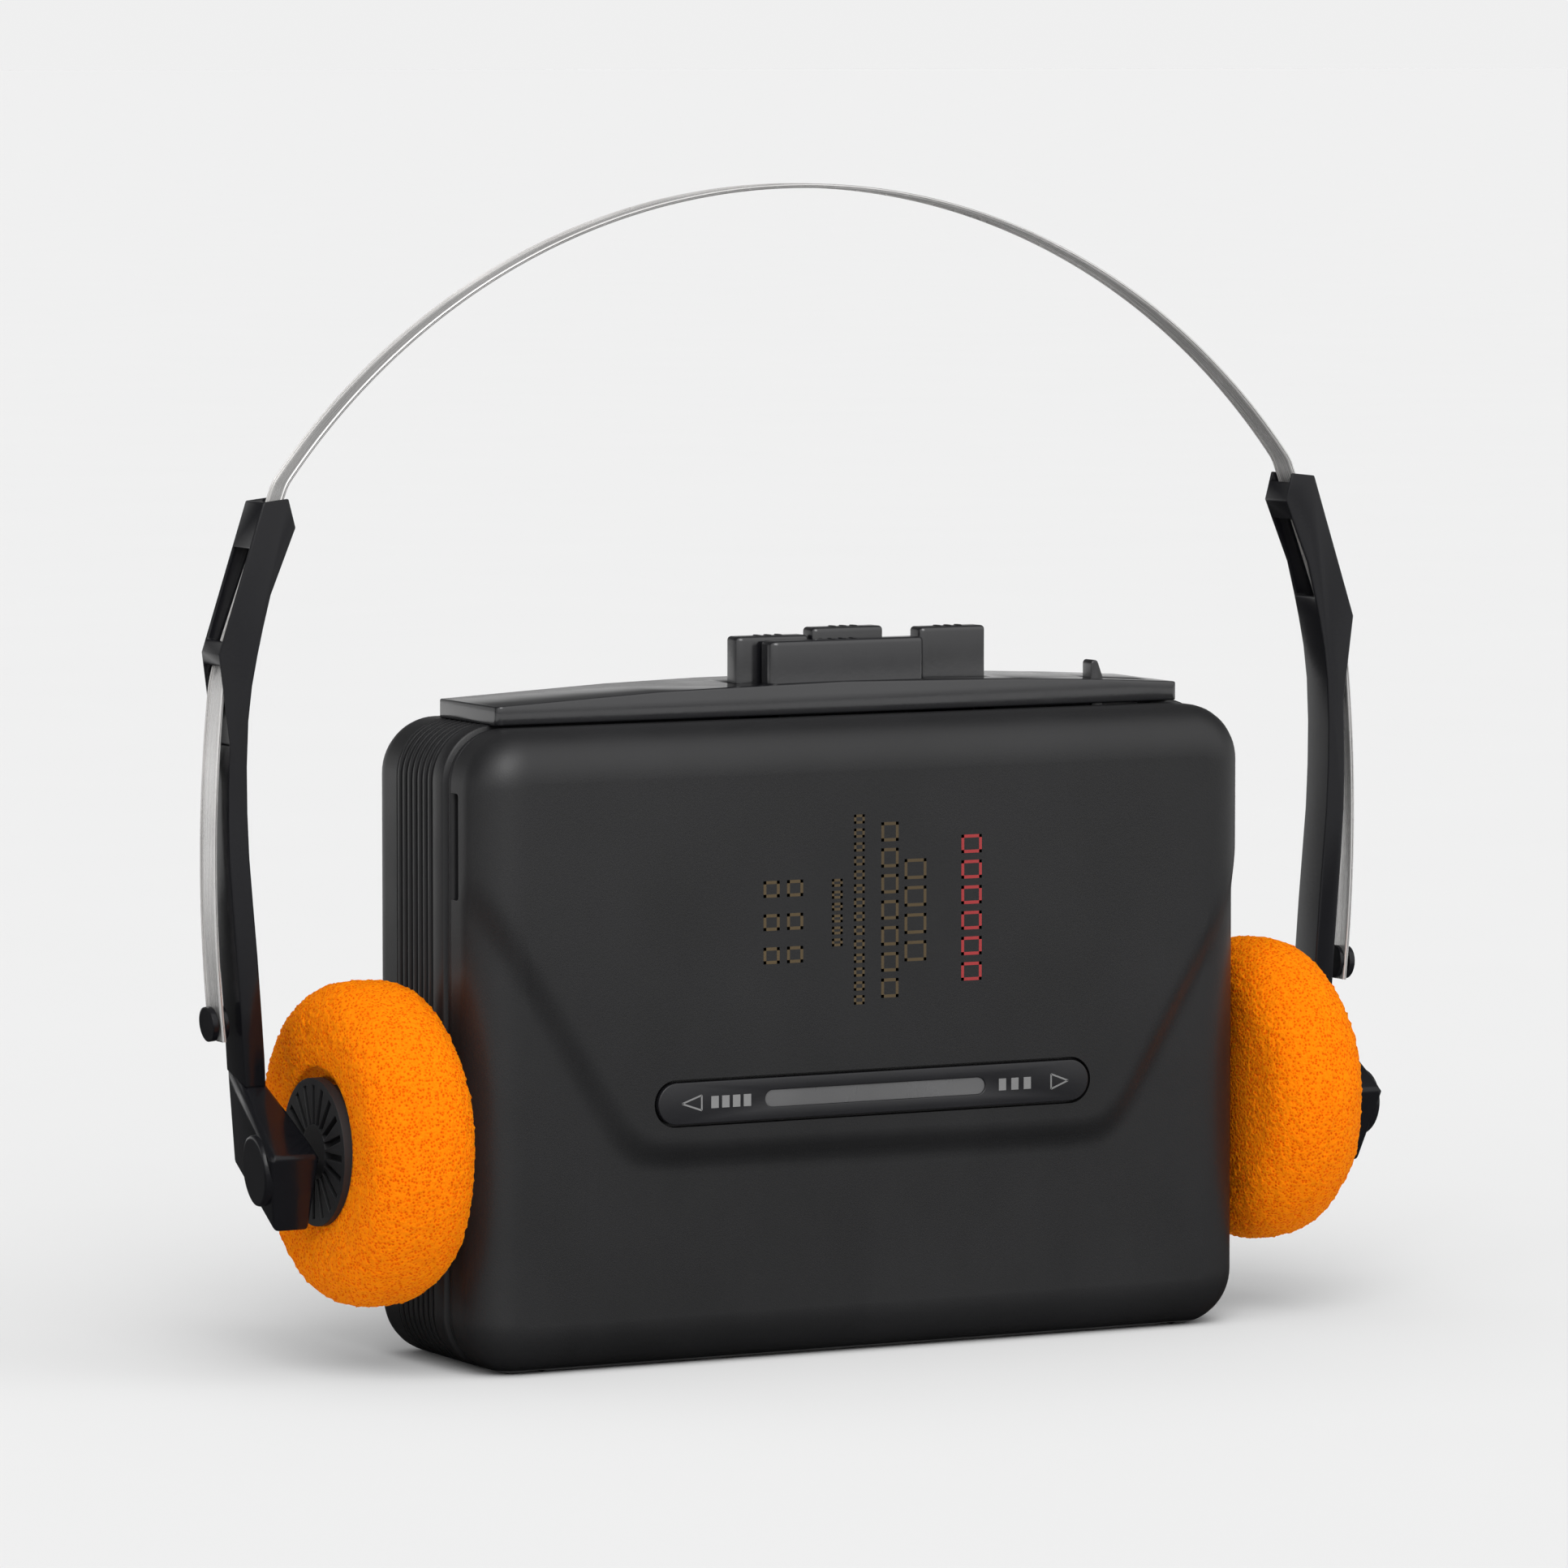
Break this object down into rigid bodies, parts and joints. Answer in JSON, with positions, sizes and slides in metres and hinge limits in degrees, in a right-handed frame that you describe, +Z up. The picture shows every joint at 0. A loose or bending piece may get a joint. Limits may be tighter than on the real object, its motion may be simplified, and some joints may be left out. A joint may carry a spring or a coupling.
{
  "type": "portable cassette player with headset",
  "caption": "Pocket cassette player with a hinged front door, push keys on top and a steel-band headset with foam ear pads standing astride it.",
  "frame": {"origin": "centre of the flat bottom face the player stands on", "axes": "+X along the player's long side, +Y from the door to the back, +Z up"},
  "size_m": [0.1738, 0.044, 0.1552],
  "materials": {
    "shell_black": "satin, finely textured",
    "gloss_black": "polished",
    "smoke_window": "smoked, satin",
    "steel_plate": "zinc-plated",
    "ground_steel": "ground and polished",
    "brass": "turned",
    "spring_steel": "bright rolled",
    "orange_foam": "open-cell foam",
    "hub_plastic": "moulded",
    "rubber_black": "matte",
    "board_green": "lacquered",
    "component_dark": "moulded",
    "head_metal": "lapped"
  },
  "bodies": {
    "player": {"rear_shell": "shell_black", "ribbed_frame": "shell_black", "top_panel": "gloss_black", "chassis_plate": "steel_plate", "battery_tray": "shell_black", "battery_contacts": "spring_steel", "circuit_board": "board_green", "board_parts": "component_dark", "motor": "steel_plate", "rear_plate": "steel_plate", "standoffs": "steel_plate", "capstan_bushes": "brass", "reel_posts": "ground_steel", "belt_guide": "ground_steel", "drive_belt": "rubber_black", "headphone_jack": "gloss_black", "case_screws": "steel_plate", "chassis_screws": "steel_plate"},
    "door": {"door_shell": "shell_black", "door_badge": "gloss_black", "door_window": "smoke_window", "cassette_guides": "shell_black", "hinge_pins": "ground_steel"},
    "battery_door": {"battery_cover": "shell_black"},
    "play": {"play_key": "gloss_black"},
    "rewind": {"rewind_key": "gloss_black"},
    "stop": {"stop_key": "gloss_black"},
    "forward": {"forward_key": "gloss_black"},
    "mode": {"mode_lever": "gloss_black"},
    "volume": {"volume_wheel": "shell_black"},
    "head_carriage": {"head_plate": "steel_plate", "tape_head": "head_metal", "roller_pins": "ground_steel"},
    "roller_left": {"left_roller": "rubber_black"},
    "roller_right": {"right_roller": "rubber_black"},
    "reel_left": {"left_reel": "hub_plastic"},
    "reel_right": {"right_reel": "hub_plastic"},
    "flywheel_left": {"left_flywheel": "steel_plate", "left_capstan": "ground_steel"},
    "flywheel_right": {"right_flywheel": "steel_plate", "right_capstan": "ground_steel"},
    "pulley": {"motor_pulley": "brass"},
    "headset": {"headband": "spring_steel", "band_pegs": "shell_black"},
    "arm_left": {"left_arm": "shell_black", "left_bracket": "shell_black", "left_cap": "gloss_black"},
    "arm_right": {"right_arm": "shell_black", "right_bracket": "shell_black", "right_cap": "gloss_black"},
    "cup_left": {"left_driver": "shell_black", "left_pad": "orange_foam"},
    "cup_right": {"right_driver": "shell_black", "right_pad": "orange_foam"}
  },
  "joints": [
    {"name": "door_hinge", "type": "hinge", "parent": "player", "child": "door", "pos_m": [0, -0.0122, 0.0043], "axis": [1, 0, 0], "range_deg": [0, 45]},
    {"name": "battery_cover_off", "type": "slide", "parent": "player", "child": "battery_door", "axis": [0, 1, 0], "range_m": [0, 0.03]},
    {"name": "carriage_slide", "type": "slide", "parent": "player", "child": "head_carriage", "axis": [0, 0, -1], "range_m": [0, 0.0055], "stiffness_N_per_m": 150, "springref_m": -0.004},
    {"name": "play_press", "type": "slide", "parent": "player", "child": "play", "axis": [0, 0, -1], "range_m": [0, 0.0025]},
    {"name": "rewind_press", "type": "slide", "parent": "player", "child": "rewind", "axis": [0, 0, -1], "range_m": [0, 0.0025], "stiffness_N_per_m": 250, "springref_m": -0.002},
    {"name": "stop_press", "type": "slide", "parent": "player", "child": "stop", "axis": [0, 0, -1], "range_m": [0, 0.0025], "stiffness_N_per_m": 250, "springref_m": -0.002},
    {"name": "forward_press", "type": "slide", "parent": "player", "child": "forward", "axis": [0, 0, -1], "range_m": [0, 0.0025], "stiffness_N_per_m": 250, "springref_m": -0.002},
    {"name": "mode_slide", "type": "slide", "parent": "player", "child": "mode", "axis": [1, 0, 0], "range_m": [0, 0.006]},
    {"name": "volume_turn", "type": "hinge", "parent": "player", "child": "volume", "pos_m": [0.0502, 0.0115, 0.06], "axis": [0, 1, 0], "range_deg": [0, 280]},
    {"name": "left_reel_spin", "type": "hinge", "parent": "player", "child": "reel_left", "pos_m": [-0.02125, 0, 0.0351], "axis": [0, 1, 0], "continuous": true},
    {"name": "right_reel_spin", "type": "hinge", "parent": "player", "child": "reel_right", "pos_m": [0.02125, 0, 0.0351], "axis": [0, 1, 0], "continuous": true},
    {"name": "left_flywheel_spin", "type": "hinge", "parent": "player", "child": "flywheel_left", "pos_m": [-0.027, 0.0039, 0.0634], "axis": [0, 1, 0], "continuous": true},
    {"name": "right_flywheel_spin", "type": "hinge", "parent": "player", "child": "flywheel_right", "pos_m": [0.027, 0.0039, 0.0634], "axis": [0, 1, 0], "continuous": true},
    {"name": "motor_spin", "type": "hinge", "parent": "player", "child": "pulley", "pos_m": [0.0442, 0.0039, 0.036], "axis": [0, 1, 0], "continuous": true},
    {"name": "left_roller_spin", "type": "hinge", "parent": "head_carriage", "child": "roller_left", "pos_m": [-0.027, -0.0067, 0.0738], "axis": [0, 1, 0], "continuous": true},
    {"name": "right_roller_spin", "type": "hinge", "parent": "head_carriage", "child": "roller_right", "pos_m": [0.027, -0.0067, 0.0738], "axis": [0, 1, 0], "continuous": true},
    {"name": "headset_lift", "type": "slide", "parent": "player", "child": "headset", "axis": [0, 0, 1], "range_m": [0, 0.12]},
    {"name": "left_arm_slide", "type": "slide", "parent": "headset", "child": "arm_left", "axis": [-0.342, 0, -0.9397], "range_m": [0, 0.003]},
    {"name": "right_arm_slide", "type": "slide", "parent": "headset", "child": "arm_right", "axis": [0.342, 0, -0.9397], "range_m": [0, 0.003]},
    {"name": "left_cup_turn", "type": "hinge", "parent": "arm_left", "child": "cup_left", "pos_m": [-0.0802, -0.003, 0.0278], "axis": [0, 0, 1], "range_deg": [-6, 6]},
    {"name": "right_cup_turn", "type": "hinge", "parent": "arm_right", "child": "cup_right", "pos_m": [0.0802, -0.003, 0.0278], "axis": [0, 0, 1], "range_deg": [-6, 6]}
  ],
  "couplings": [
    {"joint": "play_press", "follows": "carriage_slide", "ratio": 0.45454},
    {"joint": "right_flywheel_spin", "follows": "left_flywheel_spin", "ratio": -1},
    {"joint": "motor_spin", "follows": "left_flywheel_spin", "ratio": 3.8667}
  ]
}
